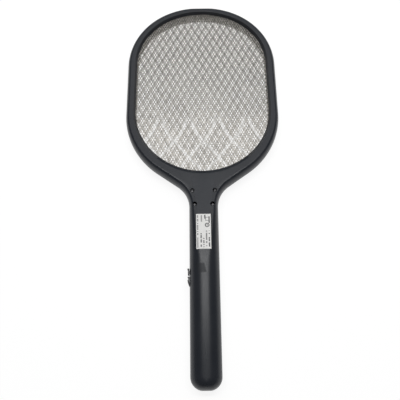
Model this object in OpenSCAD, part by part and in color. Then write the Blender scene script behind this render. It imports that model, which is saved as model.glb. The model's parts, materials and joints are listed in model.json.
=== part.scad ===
// Electric fly swatter: a stadium-shaped head with three metal meshes on a straight battery handle.
// It lies on its front with the rear, the screwed side, facing +Z. +Y runs from the handle to the head.
// Every module draws about the parting plane of the two shells, and seat() lifts it to the floor.

/* [Body] */
// Overall length, from the handle's end to the top of the head
length = 460; // [440:1:480]
// Width of the head
head_w = 181; // [172:1:190]
// Length of the head's straight sides
side_len = 69.5; // [50:0.1:80]
// How far inwards of a plain half circle the head's shoulders are centred
shoulder_x = 6.2; // [4:0.1:8]
// Width of the handle
handle_w = 32; // [31:0.1:34]
// Height of the handle's crown above the parting plane
handle_h = 14; // [13.5:0.1:16]
// Height of the head's ring above the parting plane
ring_h = 10; // [9.5:0.1:11]
// Radius of the hollow where the head flows into the handle
neck_r = 32; // [28:0.5:36]
// Angle between the head's straight taper into the neck and the middle line
taper = 54.4; // [50:0.1:58]
// Corner radius of the handle's end
end_r = 13; // [11:0.5:14]
// Thickness of the shells' walls
wall = 2.2; // [1.8:0.1:2.4]
// Depth of the front's flat below the parting plane, on which the part rests
rest_h = 13.5; // [13:0.1:13.8]

/* [Head opening] */
// Width of the opening at the inner edge of its bevel
open_w = 158; // [155:0.5:160]
// Ring's width at the top, out to the inner edge of the bevel
rim_top = 9.2; // [8.8:0.1:9.8]
// Lowest point of the opening along the part
open_low = 2.4; // [2:0.1:4.5]
// Width of the bevel along the sides
bevel_side = 2.2; // [1.5:0.1:3]
// Width of the bevel at the top
bevel_top = 1.2; // [1:0.1:2]
// Width of the bevel at the neck
bevel_low = 5.5; // [2:0.1:6]
// Height of the bevel's inner edge above the parting plane, where the outer meshes rest
seat_z = 5.3; // [4.5:0.1:6]
// Thickness of the mesh sheets
mesh_t = 0.3; // [0.2:0.1:0.8]
// Width of the centre mesh's diamonds
diamond_w = 9; // [8:0.5:12]
// Height of the centre mesh's diamonds
diamond_h = 16.9; // [14:0.1:20]
// Width of the centre mesh's strands
strand = 0.9; // [0.6:0.1:1.2]

/* [Controls] */
// Middle of the slide switch along the handle
slide_y = -112.6; // [-113.5:0.1:-112]
// Travel of the slide switch
slide_travel = 3; // [2:0.5:3]
// Middle of the push button along the handle
button_y = -122.8; // [-123.5:0.1:-122]
// Travel of the push button
button_travel = 0.7; // [0.4:0.1:0.7]

/* [Neck screws] */
// Distance of the upper pair from the middle line
screw_x_up = 12.5; // [11:0.1:13]
// Place of the upper pair along the part
screw_y_up = -23.1; // [-26:0.1:-20]
// Distance of the lower pair from the middle line
screw_x_low = 9.9; // [9:0.1:10.5]
// Place of the lower pair along the part
screw_y_low = -39.2; // [-42:0.1:-37]

/* [Label] */
// Width of the label
label_w = 15.8; // [14:0.1:18]
// Length of the label
label_len = 39.2; // [35:0.1:45]
// Middle of the label along the handle
label_y = -71; // [-75:0.1:-68]
// Middle of the label across the handle
label_x = -0.6; // [-1:0.1:1]

/* [Battery] */
// Diameter of the cell
cell_d = 18.4; // [18:0.1:18.6]
// Length of the cell
cell_len = 65; // [64:0.5:66]
// Middle of the cell along the handle
cell_y = -176; // [-177:0.5:-174]

/* [Hidden] */
$fn = 48;

head_r = head_w / 2;
handle_r = handle_w / 2;
end_y = -length / 2;
shoulder_r = head_r - shoulder_x;
crown_sag = 0.3;                     // how far the flat crown clears the shoulders' circles
shoulder_y = length / 2 - shoulder_r - crown_sag;
low_y = shoulder_y - side_len;       // centre of the head's lower end
hollow_x = handle_r + neck_r;        // centre of the neck's hollow
hollow_y = low_y - (head_r + neck_r - hollow_x * cos(taper)) / sin(taper);
ring_edge = 5;                       // how far the ring's rounded edge reaches inwards
profile_steps = 6;
gap = 0.1;                           // clearance between pieces that are stacked

// ---- The shells' surface: stations along the outline, and a section at each one ----

function smooth(t) = let (c = min(max(t, 0), 1)) c * c * (3 - 2 * c);

// Height and edge reach of the section whose inward line meets the middle line at y.
function crown(y) = ring_h + (handle_h - ring_h) * smooth((-5 - y) / 95);
function edge(y) = ring_edge + (handle_r - ring_edge) * smooth((-25 - y) / 105);

// A station is [x, y, inward x, inward y, distance to the middle line, y where it meets it].
function arc_station(cx, cy, r, a) = [cx + r * cos(a), cy + r * sin(a), -cos(a), -sin(a), r, cy];
function hollow_station(a) =
    let (x = hollow_x - neck_r * cos(a), reach = x / cos(a))
    [x, hollow_y + neck_r * sin(a), -cos(a), sin(a), reach, hollow_y + hollow_x * tan(a)];
function taper_station(t) =          // along the straight taper, from the head to the hollow
    let (
        x = head_r * cos(taper) * (1 - t) + (hollow_x - neck_r * cos(taper)) * t,
        y = (low_y - head_r * sin(taper)) * (1 - t) + (hollow_y + neck_r * sin(taper)) * t
    )
    [x, y, -cos(taper), sin(taper), x / cos(taper), y + x * tan(taper)];
function handle_station(y) = [handle_r, y, -1, 0, handle_r, y];
function toward(x, y, target) =
    let (reach = norm([x, target - y]))
    [x, y, -x / reach, (target - y) / reach, reach, target];

// Crown of a head outline: a flat arc that runs into the two shoulders, as [centre y, radius, angle].
function crown_arc(half, top) =
    let (r = half - shoulder_x, sag = top - r - shoulder_y, drop = (pow(shoulder_x, 2) - pow(sag, 2)) / (2 * sag))
    [shoulder_y - drop, r + sag + drop, atan2(drop, shoulder_x)];

end_c = end_y + end_r;               // where the handle's end starts to round off
top_arc = crown_arc(head_r, length / 2);
stations = concat(
    [for (t = [0:2]) arc_station(0, top_arc[0], top_arc[1], 90 - (90 - top_arc[2]) * t / 2)],
    [for (t = [1:11]) arc_station(shoulder_x, shoulder_y, shoulder_r, top_arc[2] * (1 - t / 11))],
    [for (t = [1:3]) [head_r, shoulder_y - side_len * t / 4, -1, 0, head_r, shoulder_y]],
    [for (t = [0:8]) arc_station(0, low_y, head_r, -taper * t / 8)],
    [for (t = [1:3]) taper_station(t / 4)],
    [for (t = [8:-1:1]) hollow_station(taper * t / 8)],
    [for (t = [0:8]) handle_station(hollow_y - 11 * t)],
    [for (t = [0:6]) toward(handle_r - end_r + end_r * cos(15 * t), end_c - end_r * sin(15 * t), end_c - t / 2)],
    [toward(0, end_y, end_c - 3.5)]
);

// Distance along a station's inward line to the end of the opening's middle, a circle of radius r.
function circle_hit(s, cy, r) =
    let (px = s[0], py = s[1] - cy, b = px * s[2] + py * s[3], c = px * px + py * py - r * r)
    b * b < c ? 1e6 : -b - sqrt(b * b - c);
function reach(s) =
    s[5] > low_y + 1 ? 16 : min(s[4], circle_hit(s, low_y + 5, open_w / 2 - 3));

// The solid under the surface that lies w inside the shell's outside.
function section(s, w) =
    let (
        h = crown(s[5]) - w,
        far = reach(s),
        e = min(edge(s[5]), far - 0.3)
    )
    concat(
        [for (k = [0:profile_steps]) let (a = 90 * k / profile_steps) [w + (e - w) * (1 - cos(a)), h * sin(a)]],
        [[far, h], [far, 0]]
    );

function on_axis(v) = abs(v) < 1e-6 ? 0 : v;
function placed(s, q) = [on_axis(s[0] + q[0] * s[2]), s[1] + q[0] * s[3], q[1]];

// A closed solid through one ring of points per station.
module loft(rings) {
    n = len(rings);
    m = len(rings[0]);
    polyhedron(
        points = [for (r = rings) each r],
        faces = concat(
            [[for (j = [0:m - 1]) j]],
            [[for (j = [m - 1:-1:0]) (n - 1) * m + j]],
            [for (i = [0:n - 2]) for (j = [0:m - 1])
                [i * m + j, (i + 1) * m + j, (i + 1) * m + (j + 1) % m]],
            [for (i = [0:n - 2]) for (j = [0:m - 1])
                [i * m + j, (i + 1) * m + (j + 1) % m, i * m + (j + 1) % m]]
        )
    );
}

module both_sides() {
    children();
    mirror([1, 0, 0]) children();
}

// The upper half of the body, w inside its outside, solid but for the head's middle
module half_body(w) {
    both_sides() loft([for (s = stations) [for (q = section(s, w)) placed(s, q)]]);
}

function arc_points(cx, cy, r, from, to, n) =
    [for (t = [0:n]) let (a = from + (to - from) * t / n) [cx + r * cos(a), cy + r * sin(a)]];
function skip(list, n) = [for (i = [n:len(list) - 1]) list[i]];

// Right half of an outline round the head's opening, from its top to its bottom
function opening_half(half, top, low) =
    let (c = crown_arc(half, top))
    concat(
        arc_points(0, c[0], c[1], 90, c[2], 8),
        skip(arc_points(shoulder_x, shoulder_y, half - shoulder_x, c[2], 0, 6), 1),
        skip(arc_points(0, low + half, half, 0, -90, 16), 0)
    );
function opening_outline(grow, top, low) =
    let (right = opening_half(open_w / 2 + grow, length / 2 - rim_top + top, open_low - low), n = len(right))
    concat(right, [for (i = [n - 2:-1:1]) [-right[i][0], right[i][1]]]);

module prism(low, low_z, high, high_z) {
    n = len(low);
    polyhedron(
        points = concat([for (p = low) [p[0], p[1], low_z]], [for (p = high) [p[0], p[1], high_z]]),
        faces = concat(
            [[for (i = [n - 1:-1:0]) i]],
            [[for (i = [0:n - 1]) n + i]],
            [for (i = [0:n - 1]) [i, (i + 1) % n, n + (i + 1) % n]],
            [for (i = [0:n - 1]) [i, n + (i + 1) % n, n + i]]
        )
    );
}

// The bevelled hole through the head: the bevel runs on past the ring's face at the same slope
module opening() {
    over = 1 + 1 / (ring_h - seat_z);
    prism(
        opening_outline(0, 0, 0), seat_z,
        opening_outline(bevel_side * over, bevel_top * over, bevel_low * over), ring_h + 1
    );
    translate([0, 0, -1]) linear_extrude(seat_z + 1.01) polygon(opening_outline(0, 0, 0));
}

// Between the shells' rims and the parting plane, everything inside this outline stays free
module rim_block() {
    translate([0, 0, seat_z]) linear_extrude(20)
        polygon(opening_outline(bevel_side + wall, bevel_top + wall, bevel_low + wall));
}

module half_shell() {
    difference() {
        half_body(0);
        difference() {
            half_body(wall);
            rim_block();
        }
        opening();
    }
}

// What the walls enclose, grown half a wall into them so that ribs and bosses join the shell
module half_core() {
    half_body(wall / 2);
}

module at_neck_screws() {
    for (side = [-1, 1]) {
        translate([side * screw_x_up, screw_y_up, 0]) children();
        translate([side * screw_x_low, screw_y_low, 0]) children();
    }
}

screw_seat = 7.9;                    // underside of the screws' heads
screw_hole_r = 1.5;
screw_shank_r = 1.25;
screw_recess_r = 2.5;
boss_r = 3.4;
pilot_r = 1.3;

// ---- Side controls: places measured from the parting plane and outwards from the middle line ----

side_x = -handle_r;                  // the handle's side that carries the controls
pocket_x = side_x + wall;            // flat inside the wall behind the controls
pocket_z = 5;
stem_w = 3;
slot_z = 1.7;
window_z = 3.5;
window_len = 10.2;
fit = 0.25;                          // clearance round a control in its window

module control_openings() {
    // Slot for the knob's stem
    translate([side_x - 2, slide_y - stem_w / 2 - fit, -slot_z])
        cube([6, stem_w + slide_travel + 2 * fit, 2 * slot_z]);
    // Window for the push button
    translate([side_x - 2, button_y - window_len / 2 - fit, -window_z])
        cube([6, window_len + 2 * fit, 2 * window_z]);
    // Flat pocket behind both
    translate([pocket_x, -131, -pocket_z]) cube([6, 27.5, 2 * pocket_z]);
}

module charging_opening() {
    translate([0, end_y - 1, 0]) rotate([-90, 0, 0]) linear_extrude(6) slot_2d(9.3, 3.6);
}

module slot_2d(w, h) {
    square([w - h, h], center = true);
    for (side = [-1, 1]) translate([side * (w - h) / 2, 0]) circle(d = h);
}

// ---- Shells ----

module rear_shell() {
    color("#2b2d31") difference() {
        union() {
            half_shell();
            intersection() {
                half_core();
                at_neck_screws() cylinder(r = boss_r, h = 20);
            }
        }
        at_neck_screws() {
            translate([0, 0, -1]) cylinder(r = screw_hole_r, h = 20);
            translate([0, 0, screw_seat]) cylinder(r = screw_recess_r, h = 10);
        }
        control_openings();
        charging_opening();
    }
}

rib_t = 1.6;
board_low = -5;                      // underside of the main board
board_t = 1.6;
board_top = board_low + board_t;
board_screw_x = 7.5;
board_screw_y = [-47.5, -98];
lens_y = -92;
lens_r = 1.9;

module front_shell() {
    color("#26282c") difference() {
        union() {
            mirror([0, 0, 1]) half_shell();
            intersection() {
                mirror([0, 0, 1]) half_core();
                union() {
                    at_neck_screws() translate([0, 0, -20]) cylinder(r = boss_r, h = 20 - gap);
                    board_bosses();
                    cell_ribs();
                    charging_ledge();
                }
            }
        }
        at_neck_screws() translate([0, 0, -7]) cylinder(r = pilot_r, h = 20);
        at_board_screws() translate([0, 0, -9.3]) cylinder(r = 0.95, h = 20);
        control_openings();
        charging_opening();
        translate([0, lens_y, -20]) cylinder(r = lens_r + 0.05, h = 10);
        translate([-60, end_y - 10, -40]) cube([120, length, 40 - rest_h]);
    }
}

module at_board_screws() {
    for (y = board_screw_y) translate([y == board_screw_y[0] ? board_screw_x : -board_screw_x, y, 0]) children();
}

module board_bosses() {
    at_board_screws() translate([0, 0, -20]) cylinder(r = 2.4, h = 20 + board_low - gap);
}

// Two saddles that carry the cell
module cell_ribs() {
    for (y = [cell_y - 20, cell_y + 20]) difference() {
        translate([-20, y - rib_t / 2, -20]) cube([40, rib_t, 18]);
        translate([0, y, 0]) rotate([90, 0, 0]) cylinder(d = cell_d + 2.2, h = 10, center = true);
    }
}

// A step under the charging board
charge_board_z = -2.9;
charge_board_t = 1;
module charging_ledge() {
    translate([-6, end_y + 10, -20]) cube([12, 2, 20 + charge_board_z - gap]);
}

// ---- Head: meshes and the frames that keep them apart ----

sheet_r = 83.3;
spacer_r = 84.3;
sheet_top_y = length / 2 - 5.7 - sheet_r;
outer_mesh_z = seat_z - gap - mesh_t;
tongue_w = 5;
outer_tongue_x = -19;
centre_tongue_x = 13;
tongue_y = low_y - spacer_r - 4;     // free end of the tongue each mesh has for its clip

module stadium(r) {
    translate([0, sheet_top_y]) circle(r = r, $fn = 120);
    translate([0, low_y]) circle(r = r, $fn = 120);
    translate([-r, low_y]) square([2 * r, sheet_top_y - low_y]);
}

module sheet_2d(tongue_x) {
    stadium(sheet_r);
    translate([tongue_x - tongue_w / 2, tongue_y]) square([tongue_w, 20]);
}

module mesh_sheet(z) {
    translate([0, 0, z]) linear_extrude(mesh_t) sheet_2d(outer_tongue_x);
}

module rear_mesh() {
    color("#c8c6c0") mesh_sheet(outer_mesh_z);
}

module front_mesh() {
    color("#c8c6c0") mesh_sheet(-outer_mesh_z - mesh_t);
}

// The centre mesh is cut to a field of diamonds that ends under the ring.
slant = atan(diamond_w / diamond_h); // of the strands, from the part's length
hole_w = diamond_w - strand / cos(slant);
hole_h = diamond_h - strand / sin(slant);
field_r = 79.6;
function in_field(x, y) =
    norm([x, y - min(max(y, low_y), sheet_top_y)]) < field_r - 1.5;

module centre_mesh() {
    columns = ceil(field_r / diamond_w);
    rows = ceil(length / 2 / diamond_h);
    color("#a9a79f") translate([0, 0, -mesh_t / 2]) linear_extrude(mesh_t) difference() {
        sheet_2d(centre_tongue_x);
        intersection() {
            stadium(field_r);
            for (i = [-columns:columns]) for (j = [-rows:rows]) for (half = [0, 1]) {
                x = (i + half / 2) * diamond_w;
                y = low_y + (j + half / 2) * diamond_h;
                if (in_field(x, y)) translate([x, y])
                    polygon([[-hole_w / 2, 0], [0, -hole_h / 2], [hole_w / 2, 0], [0, hole_h / 2]]);
            }
        }
    }
}

module spacer(low, high) {
    translate([0, 0, low]) linear_extrude(high - low) difference() {
        stadium(spacer_r);
        polygon(opening_outline(0.6, 0.6, 0.6));
    }
}

module rear_spacer_frame() {
    color("#3a3a3d") spacer(mesh_t / 2 + gap, outer_mesh_z - gap);
}

module front_spacer_frame() {
    color("#3a3a3d") spacer(-outer_mesh_z + gap, -mesh_t / 2 - gap);
}

// A clip pressed onto each mesh's tongue for its lead
clip_w = 6.4;
clip_len = 3.4;
clip_y = tongue_y - 0.6;
module mesh_clip(x, z) {
    translate([x, clip_y, z]) difference() {
        translate([-clip_w / 2, 0, -mesh_t / 2 - 0.4]) cube([clip_w, clip_len, mesh_t + 0.8]);
        translate([-tongue_w / 2 - 0.05, 0.55, -mesh_t / 2 - 0.03]) cube([tongue_w + 0.1, clip_len, mesh_t + 0.06]);
    }
}

outer_clip_z = outer_mesh_z + mesh_t / 2;
module mesh_clips() {
    color("#c9a24b") {
        mesh_clip(outer_tongue_x, outer_clip_z);
        mesh_clip(outer_tongue_x, -outer_clip_z);
        mesh_clip(centre_tongue_x, 0);
    }
}

// ---- Fasteners and label ----

module cross_recess(r, z) {
    for (a = [0, 90]) rotate([0, 0, a]) translate([-r, -0.3, z]) cube([2 * r, 0.6, 2]);
}

module neck_screws() {
    color("#55565a") at_neck_screws() difference() {
        union() {
            translate([0, 0, screw_seat]) cylinder(r = 2.25, h = 1.3);
            translate([0, 0, -6.5]) cylinder(r = screw_shank_r, h = screw_seat + 6.5);
        }
        cross_recess(1.2, screw_seat + 0.7);
    }
}

// The label follows the crown of the handle, a hair above it
label_gap = 0.08;
label_t = 0.15;
label_steps = 8;
function skin_z(x, y) =
    let (e = edge(y), d = handle_r - abs(x))
    d >= e ? crown(y) : crown(y) * sqrt(1 - pow(1 - d / e, 2));
module rating_label() {
    color("#e6e5e1") loft([
        for (i = [0:label_steps])
            let (y = label_y + label_len * (i / label_steps - 0.5))
            concat(
                [for (j = [0:label_steps]) let (x = label_x + label_w * (j / label_steps - 0.5))
                    [x, y, skin_z(x, y) + label_gap + label_t]],
                [for (j = [label_steps:-1:0]) let (x = label_x + label_w * (j / label_steps - 0.5))
                    [x, y, skin_z(x, y) + label_gap]]
            )
    ]);
}

// ---- Side controls ----

knob_x = side_x - fit;               // underside of the knob's thumb plate
knob_len = 7;
knob_z = 3.4;
lever_r = 0.7;

// Profile of a control along the handle, [outwards, along] from its foot
knob_profile = [
    [0, 3.5], [1.7, 3.5], [1.9, 3.1], [1.9, 2.5], [1.5, 1.9], [1.55, -2.6], [1.3, -3.5], [0, -3.5]
];
button_profile = [
    [0, 5.1], [1.9, 5.1], [2.2, 4.7], [2.1, 4.1], [1.1, 3.2], [1.1, 2.6], [2.1, 1.7], [2.3, 1.2],
    [2.2, 0.4], [1.3, -2.6], [0.5, -4.6], [0.2, -5.1], [0, -5.1]
];

module thumb_piece(profile, x, y, half) {
    translate([x, y, -half]) linear_extrude(2 * half) polygon([for (p = profile) [-p[0], p[1]]]);
}

module slide_knob() {
    color("#1f2024") difference() {
        union() {
            thumb_piece(knob_profile, knob_x, slide_y, knob_z);
            translate([knob_x, slide_y - stem_w / 2, -slot_z + fit]) cube([3.1, stem_w, 2 * (slot_z - fit)]);
        }
        translate([knob_x + 1.2, slide_y - lever_r - 0.1, -lever_r - 0.1])
            cube([3, 2 * lever_r + 0.2, 2 * lever_r + 0.2]);
    }
}

switch_board_x = -8.2;
case_top = -11.8;                    // outer face of the two switches' cases
module slide_lever() {
    color("#d8d4c8") translate([case_top - 1.7, slide_y - lever_r, -lever_r]) cube([3, 2 * lever_r, 2 * lever_r]);
}

module slide_switch_case() {
    color("#b9bbbe") difference() {
        translate([case_top, slide_y - 3.9, -1.9]) cube([switch_board_x - gap - case_top, 10.2, 3.8]);
        translate([case_top - 1, slide_y - lever_r - 0.15, -lever_r - 0.15])
            cube([3, 2 * lever_r + slide_travel + 0.3, 2 * lever_r + 0.3]);
    }
}

module push_button() {
    color("#1f2024") {
        thumb_piece(button_profile, side_x, button_y, window_z - fit);
        // Body in the window, then the flange that keeps it in, and the pad that meets the plunger
        translate([side_x, button_y - window_len / 2 + 0.1, -window_z + fit])
            cube([2.5, window_len - 0.2, 2 * (window_z - fit)]);
        translate([pocket_x + 0.1, button_y - window_len / 2 - 0.7, -4.2]) cube([0.5, window_len + 1.4, 8.4]);
        translate([pocket_x + 0.5, button_y, 0]) rotate([0, 90, 0]) cylinder(r = 1.6, h = 0.25);
    }
}

plunger_r = 1.7;
plunger_x = pocket_x + 0.8;
module tact_plunger() {
    color("#d9d9d6") translate([plunger_x, button_y, 0]) rotate([0, 90, 0]) cylinder(r = plunger_r, h = 2.1);
}

module tact_switch_case() {
    color("#2a2a2c") difference() {
        translate([case_top + 0.1, button_y - 3, -3]) cube([switch_board_x - gap - case_top - 0.1, 6, 6]);
        translate([case_top - 1, button_y, 0]) rotate([0, 90, 0]) cylinder(r = plunger_r + 0.05, h = 3.9);
    }
}

module switch_board() {
    color("#2f6b3c") translate([switch_board_x, -130, -5.5]) cube([1.2, 27, 11]);
}

// ---- Circuit ----

module main_board() {
    color("#2f6b3c") difference() {
        translate([-11, -101, board_low]) cube([22, 57, board_t]);
        at_board_screws() translate([0, 0, -10]) cylinder(r = 1.2, h = 10);
    }
}

module board_screws() {
    color("#8d8f92") at_board_screws() difference() {
        union() {
            translate([0, 0, board_top + 0.02]) cylinder(r = 1.9, h = 1.2);
            translate([0, 0, -9.2]) cylinder(r = 0.9, h = 9.2 + board_top + 0.1);
        }
        cross_recess(1, board_top + 0.7);
    }
}

part_z = board_top + 0.05;           // what stands on the board starts here
core_y = -84;
module transformer_core() {
    color("#3b3836") difference() {
        translate([-6.5, core_y - 6, part_z]) cube([13, 12, 10.5]);
        translate([-7.5, core_y - 3.6, part_z + 2]) cube([15, 7.2, 6.5]);
    }
}

module transformer_coil() {
    color("#b5651d") difference() {
        translate([0, core_y, part_z + 2.1]) cylinder(r = 5.9, h = 6.3);
        for (side = [-1, 1]) translate([-8, side > 0 ? core_y + 3.5 : core_y - 13.5, part_z]) cube([16, 10, 12]);
    }
}

module hv_capacitor() {
    color("#a8461f") translate([-9, -70, part_z]) cube([7, 14, 9.5]);
}

module multiplier_capacitors() {
    color("#3f7fb5") for (i = [0:2])
        translate([4.5, -72 + 6.5 * i, part_z + 4]) rotate([90, 0, 0]) cylinder(r = 3.6, h = 2.6, center = true);
}

module axial(x, y, r, body) {
    translate([x, y, part_z + r]) rotate([0, 90, 0]) {
        cylinder(r = r, h = body, center = true);
        cylinder(r = 0.25, h = body + 3.4, center = true);
    }
}

module multiplier_diodes() {
    color("#2c2c2e") for (i = [0:3]) axial(0, -54.2 + 2.6 * i, 1.1, 4.4);
}

module bleed_resistors() {
    color("#c9b58a") for (i = [0:1]) axial(-5, -76.2 + 2.8 * i, 1.1, 6);
}

module switching_transistor() {
    color("#2a2a2c") translate([3.2, -97, part_z]) cube([7, 3.2, 9]);
}

module indicator_led() {
    color("#b33a3a") translate([0, lens_y, board_low - 0.05]) mirror([0, 0, 1]) {
        cylinder(r = 1.5, h = 3.6);
        translate([0, 0, 3.6]) intersection() {
            sphere(r = 1.5);
            cylinder(r = 2, h = 2);
        }
    }
}

module indicator_lens() {
    color("#d9d6d0") translate([0, lens_y, -rest_h + 0.2]) difference() {
        union() {
            cylinder(r = lens_r, h = 2.4);
            translate([0, 0, 1.9]) cylinder(r = 2.6, h = 1);
        }
        translate([0, 0, 1.2]) cylinder(r = 1.3, h = 3);
    }
}

// ---- Power ----

module battery_cell() {
    color("#3a6ea5") translate([0, cell_y, 0]) rotate([90, 0, 0]) union() {
        cylinder(d = cell_d, h = cell_len, center = true);
        translate([0, 0, -cell_len / 2 - 0.9]) cylinder(r = 3, h = 1.2);
    }
}

tab_t = 0.15;
module battery_tabs() {
    color("#c0c2c4") {
        translate([-4, cell_y + cell_len / 2 + 0.95, -3.5]) cube([8, tab_t, 7]);
        translate([-4, cell_y - cell_len / 2 - 0.1 - tab_t, -3.5]) cube([8, tab_t, 7]);
    }
}

module battery_pads() {
    color("#4a4a4c") for (y = [cell_y - 20, cell_y + 20]) translate([0, y, 0]) rotate([90, 0, 0]) intersection() {
        difference() {
            cylinder(d = cell_d + 2.1, h = 6, center = true);
            cylinder(d = cell_d + 0.1, h = 7, center = true);
        }
        translate([-10, -11.5, -4]) cube([20, 8, 8]);
    }
}

module charging_board() {
    color("#2f6b3c") translate([-7, end_y + 4.4, charge_board_z]) cube([14, 11, charge_board_t]);
}

socket_len = 7.2;
module charging_socket() {
    color("#b9bbbe") translate([0, end_y + 0.6, 0]) rotate([-90, 0, 0]) difference() {
        linear_extrude(socket_len) slot_2d(9, 3.3);
        translate([0, 0, -1]) linear_extrude(socket_len - 0.4) slot_2d(8.4, 2.7);
    }
}

module charging_socket_tongue() {
    color("#2a2a2c") translate([-3.2, end_y + 1.4, -0.35]) cube([6.4, socket_len - 2.3, 0.7]);
}

// ---- Leads ----

function unit(v) = v / norm(v);
function heading(p, i) = unit(p[min(i + 1, len(p) - 1)] - p[max(i - 1, 0)]);
module lead(p, r) {
    loft([for (i = [0:len(p) - 1])
        let (t = heading(p, i), u = unit(cross(t, [1, 0, 0])), v = cross(t, u))
        [for (k = [0:7]) p[i] + r * (cos(45 * k) * u + sin(45 * k) * v)]
    ]);
}

hv_r = 0.9;
lead_r = 0.65;
clip_mid = clip_y - 0.1;             // where the leads meet the clips
board_near = -43.9;                  // and the main board's two ends
board_far = -101.1;
lead_z = board_low + board_t / 2;

module centre_mesh_lead() {
    x = centre_tongue_x;
    color("#b3262a") lead([[x, clip_mid, 0], [x, clip_mid - 1, 0], [8.2, -17.5, 0.3], [5, -23, 0], [4, -34, -1.5],
        [4, -41, lead_z], [4, board_near, lead_z]], hv_r);
}

module outer_mesh_leads() {
    x = outer_tongue_x;
    color("#1c1c1e") {
        lead([[x, clip_mid, outer_clip_z], [x, clip_mid - 1, outer_clip_z], [-14.2, -16, 4], [-8, -18.6, 3],
            [-5, -24, 1], [-5, -34, -1], [-5, -41, lead_z], [-5, board_near, lead_z]], lead_r);
        lead([[x, clip_mid, -outer_clip_z], [x, clip_mid - 1, -outer_clip_z], [-14.2, -16, -4.6], [-8, -18.6, -4.6],
            [-4, -24, -5], [-2.4, -34, -5], [-2.4, -41, lead_z], [-2.4, board_near, lead_z]], lead_r);
    }
}

module battery_leads() {
    top = cell_y + cell_len / 2 + 1.2;
    low = cell_y - cell_len / 2 - 0.4;
    color("#b3262a") lead([[2.5, top, 2], [2.5, top + 3, 2], [4, -120, 1], [6, -107, -2.5], [6, -103, lead_z],
        [6, board_far, lead_z]], lead_r);
    color("#1c1c1e") lead([[2.2, low, 0], [2.6, low - 1.2, 0], [6, low - 2.4, 0.5], [9.8, low - 0.8, 1], [11.2, low + 4, 1.5],
        [11.2, -146, 1.5], [9.6, -138, 0], [8.5, -112, -3], [8.5, -103, lead_z], [8.5, board_far, lead_z]], lead_r);
}

module switch_leads() {
    color("#d9c23a") for (z = [-3.5, 3.5])
        lead([[-6.3, -106.4, z], [-5.6, -105.4, z * 0.6], [-4.6 + z / 5, -103, -3.4], [-4.6 + z / 5, -102, lead_z],
            [-4.6 + z / 5, board_far, lead_z]], 0.5);
}

module charging_leads() {
    color("#d8d8d6") {
        for (side = [-1, 1])
            lead([[side * 5, -214.4, charge_board_z + 0.5], [side * 5.4, -213.2, charge_board_z + 0.6],
                [side * 8.6, -210, -1.5], [side * 11, -205, -0.5], [side * 11, -146, -0.5],
                [side * 6, -137, -4], [side > 0 ? 3.5 : -1, -125, -4.8], [side > 0 ? 3.5 : -1, -103, lead_z],
                [side > 0 ? 3.5 : -1, board_far, lead_z]], 0.5);
    }
}

// ---- Placing ----

module seat() {
    translate([0, 0, rest_h]) children();
}

seat() rear_shell();
seat() front_shell();
seat() rear_mesh();
seat() centre_mesh();
seat() front_mesh();
seat() rear_spacer_frame();
seat() front_spacer_frame();
seat() mesh_clips();
seat() neck_screws();
seat() rating_label();
seat() slide_knob();
seat() slide_lever();
seat() slide_switch_case();
seat() push_button();
seat() tact_plunger();
seat() tact_switch_case();
seat() switch_board();
seat() main_board();
seat() board_screws();
seat() transformer_core();
seat() transformer_coil();
seat() hv_capacitor();
seat() multiplier_capacitors();
seat() multiplier_diodes();
seat() bleed_resistors();
seat() switching_transistor();
seat() indicator_led();
seat() indicator_lens();
seat() battery_cell();
seat() battery_tabs();
seat() battery_pads();
seat() charging_board();
seat() charging_socket();
seat() charging_socket_tongue();
seat() centre_mesh_lead();
seat() outer_mesh_leads();
seat() battery_leads();
seat() switch_leads();
seat() charging_leads();
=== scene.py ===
"""Electric fly swatter on a pale table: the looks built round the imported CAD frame.

Lengths in the making functions are millimetres from the middle of the swatter, with the heights counted
from the parting plane of its two shells; seat() brings a finished piece to metres in the frame.
"""

import json
import math

import bmesh
import bpy
from mathutils import Matrix, Vector


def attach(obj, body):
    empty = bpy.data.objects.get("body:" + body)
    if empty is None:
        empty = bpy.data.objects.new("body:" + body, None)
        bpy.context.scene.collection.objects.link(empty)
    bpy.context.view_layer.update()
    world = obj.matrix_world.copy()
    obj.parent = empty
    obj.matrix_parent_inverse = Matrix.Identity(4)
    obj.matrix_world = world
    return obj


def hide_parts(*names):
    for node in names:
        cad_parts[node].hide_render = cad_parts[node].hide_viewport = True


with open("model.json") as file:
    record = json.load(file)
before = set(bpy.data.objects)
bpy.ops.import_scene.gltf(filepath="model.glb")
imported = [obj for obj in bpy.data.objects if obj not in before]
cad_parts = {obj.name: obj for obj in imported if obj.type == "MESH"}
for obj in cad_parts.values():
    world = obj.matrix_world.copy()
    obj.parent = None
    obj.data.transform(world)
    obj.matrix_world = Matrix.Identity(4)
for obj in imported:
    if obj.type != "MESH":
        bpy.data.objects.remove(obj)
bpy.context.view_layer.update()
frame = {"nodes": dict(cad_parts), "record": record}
nodes = frame["nodes"]

# Body, as in the CAD
LENGTH, HEAD_W, HANDLE_W = 460.0, 181.0, 32.0
RING_H, HANDLE_H = 10.0, 14.0  # from the parting plane to the crown
REST_H = 13.5  # from the parting plane down to the flat that lies on the table
RING_EDGE = 5.0  # width of the ring's rounded edge
WALL = 2.2
SHOULDER_X, SHOULDER_Y, SIDE_LEN = 6.2, 145.4, 69.5
LOW_Y = SHOULDER_Y - SIDE_LEN
NECK_R, END_R = 32.0, 13.0
TAPER = math.radians(54.4)  # how far the outline has turned where the taper to the neck begins
HALF_HEAD, HALF_HANDLE, HALF_LEN = HEAD_W / 2, HANDLE_W / 2, LENGTH / 2
HOLLOW_X = HALF_HANDLE + NECK_R
HOLLOW_Y = LOW_Y - (HALF_HEAD + NECK_R - HOLLOW_X * math.cos(TAPER)) / math.sin(TAPER)

# Opening of the head: outer edge of its bevel, then the depth of its inner edge
LIP_HALF, LIP_TOP, LIP_LOW = 81.2, 222.0, -3.1
SEAT_Z = 5.3

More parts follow.
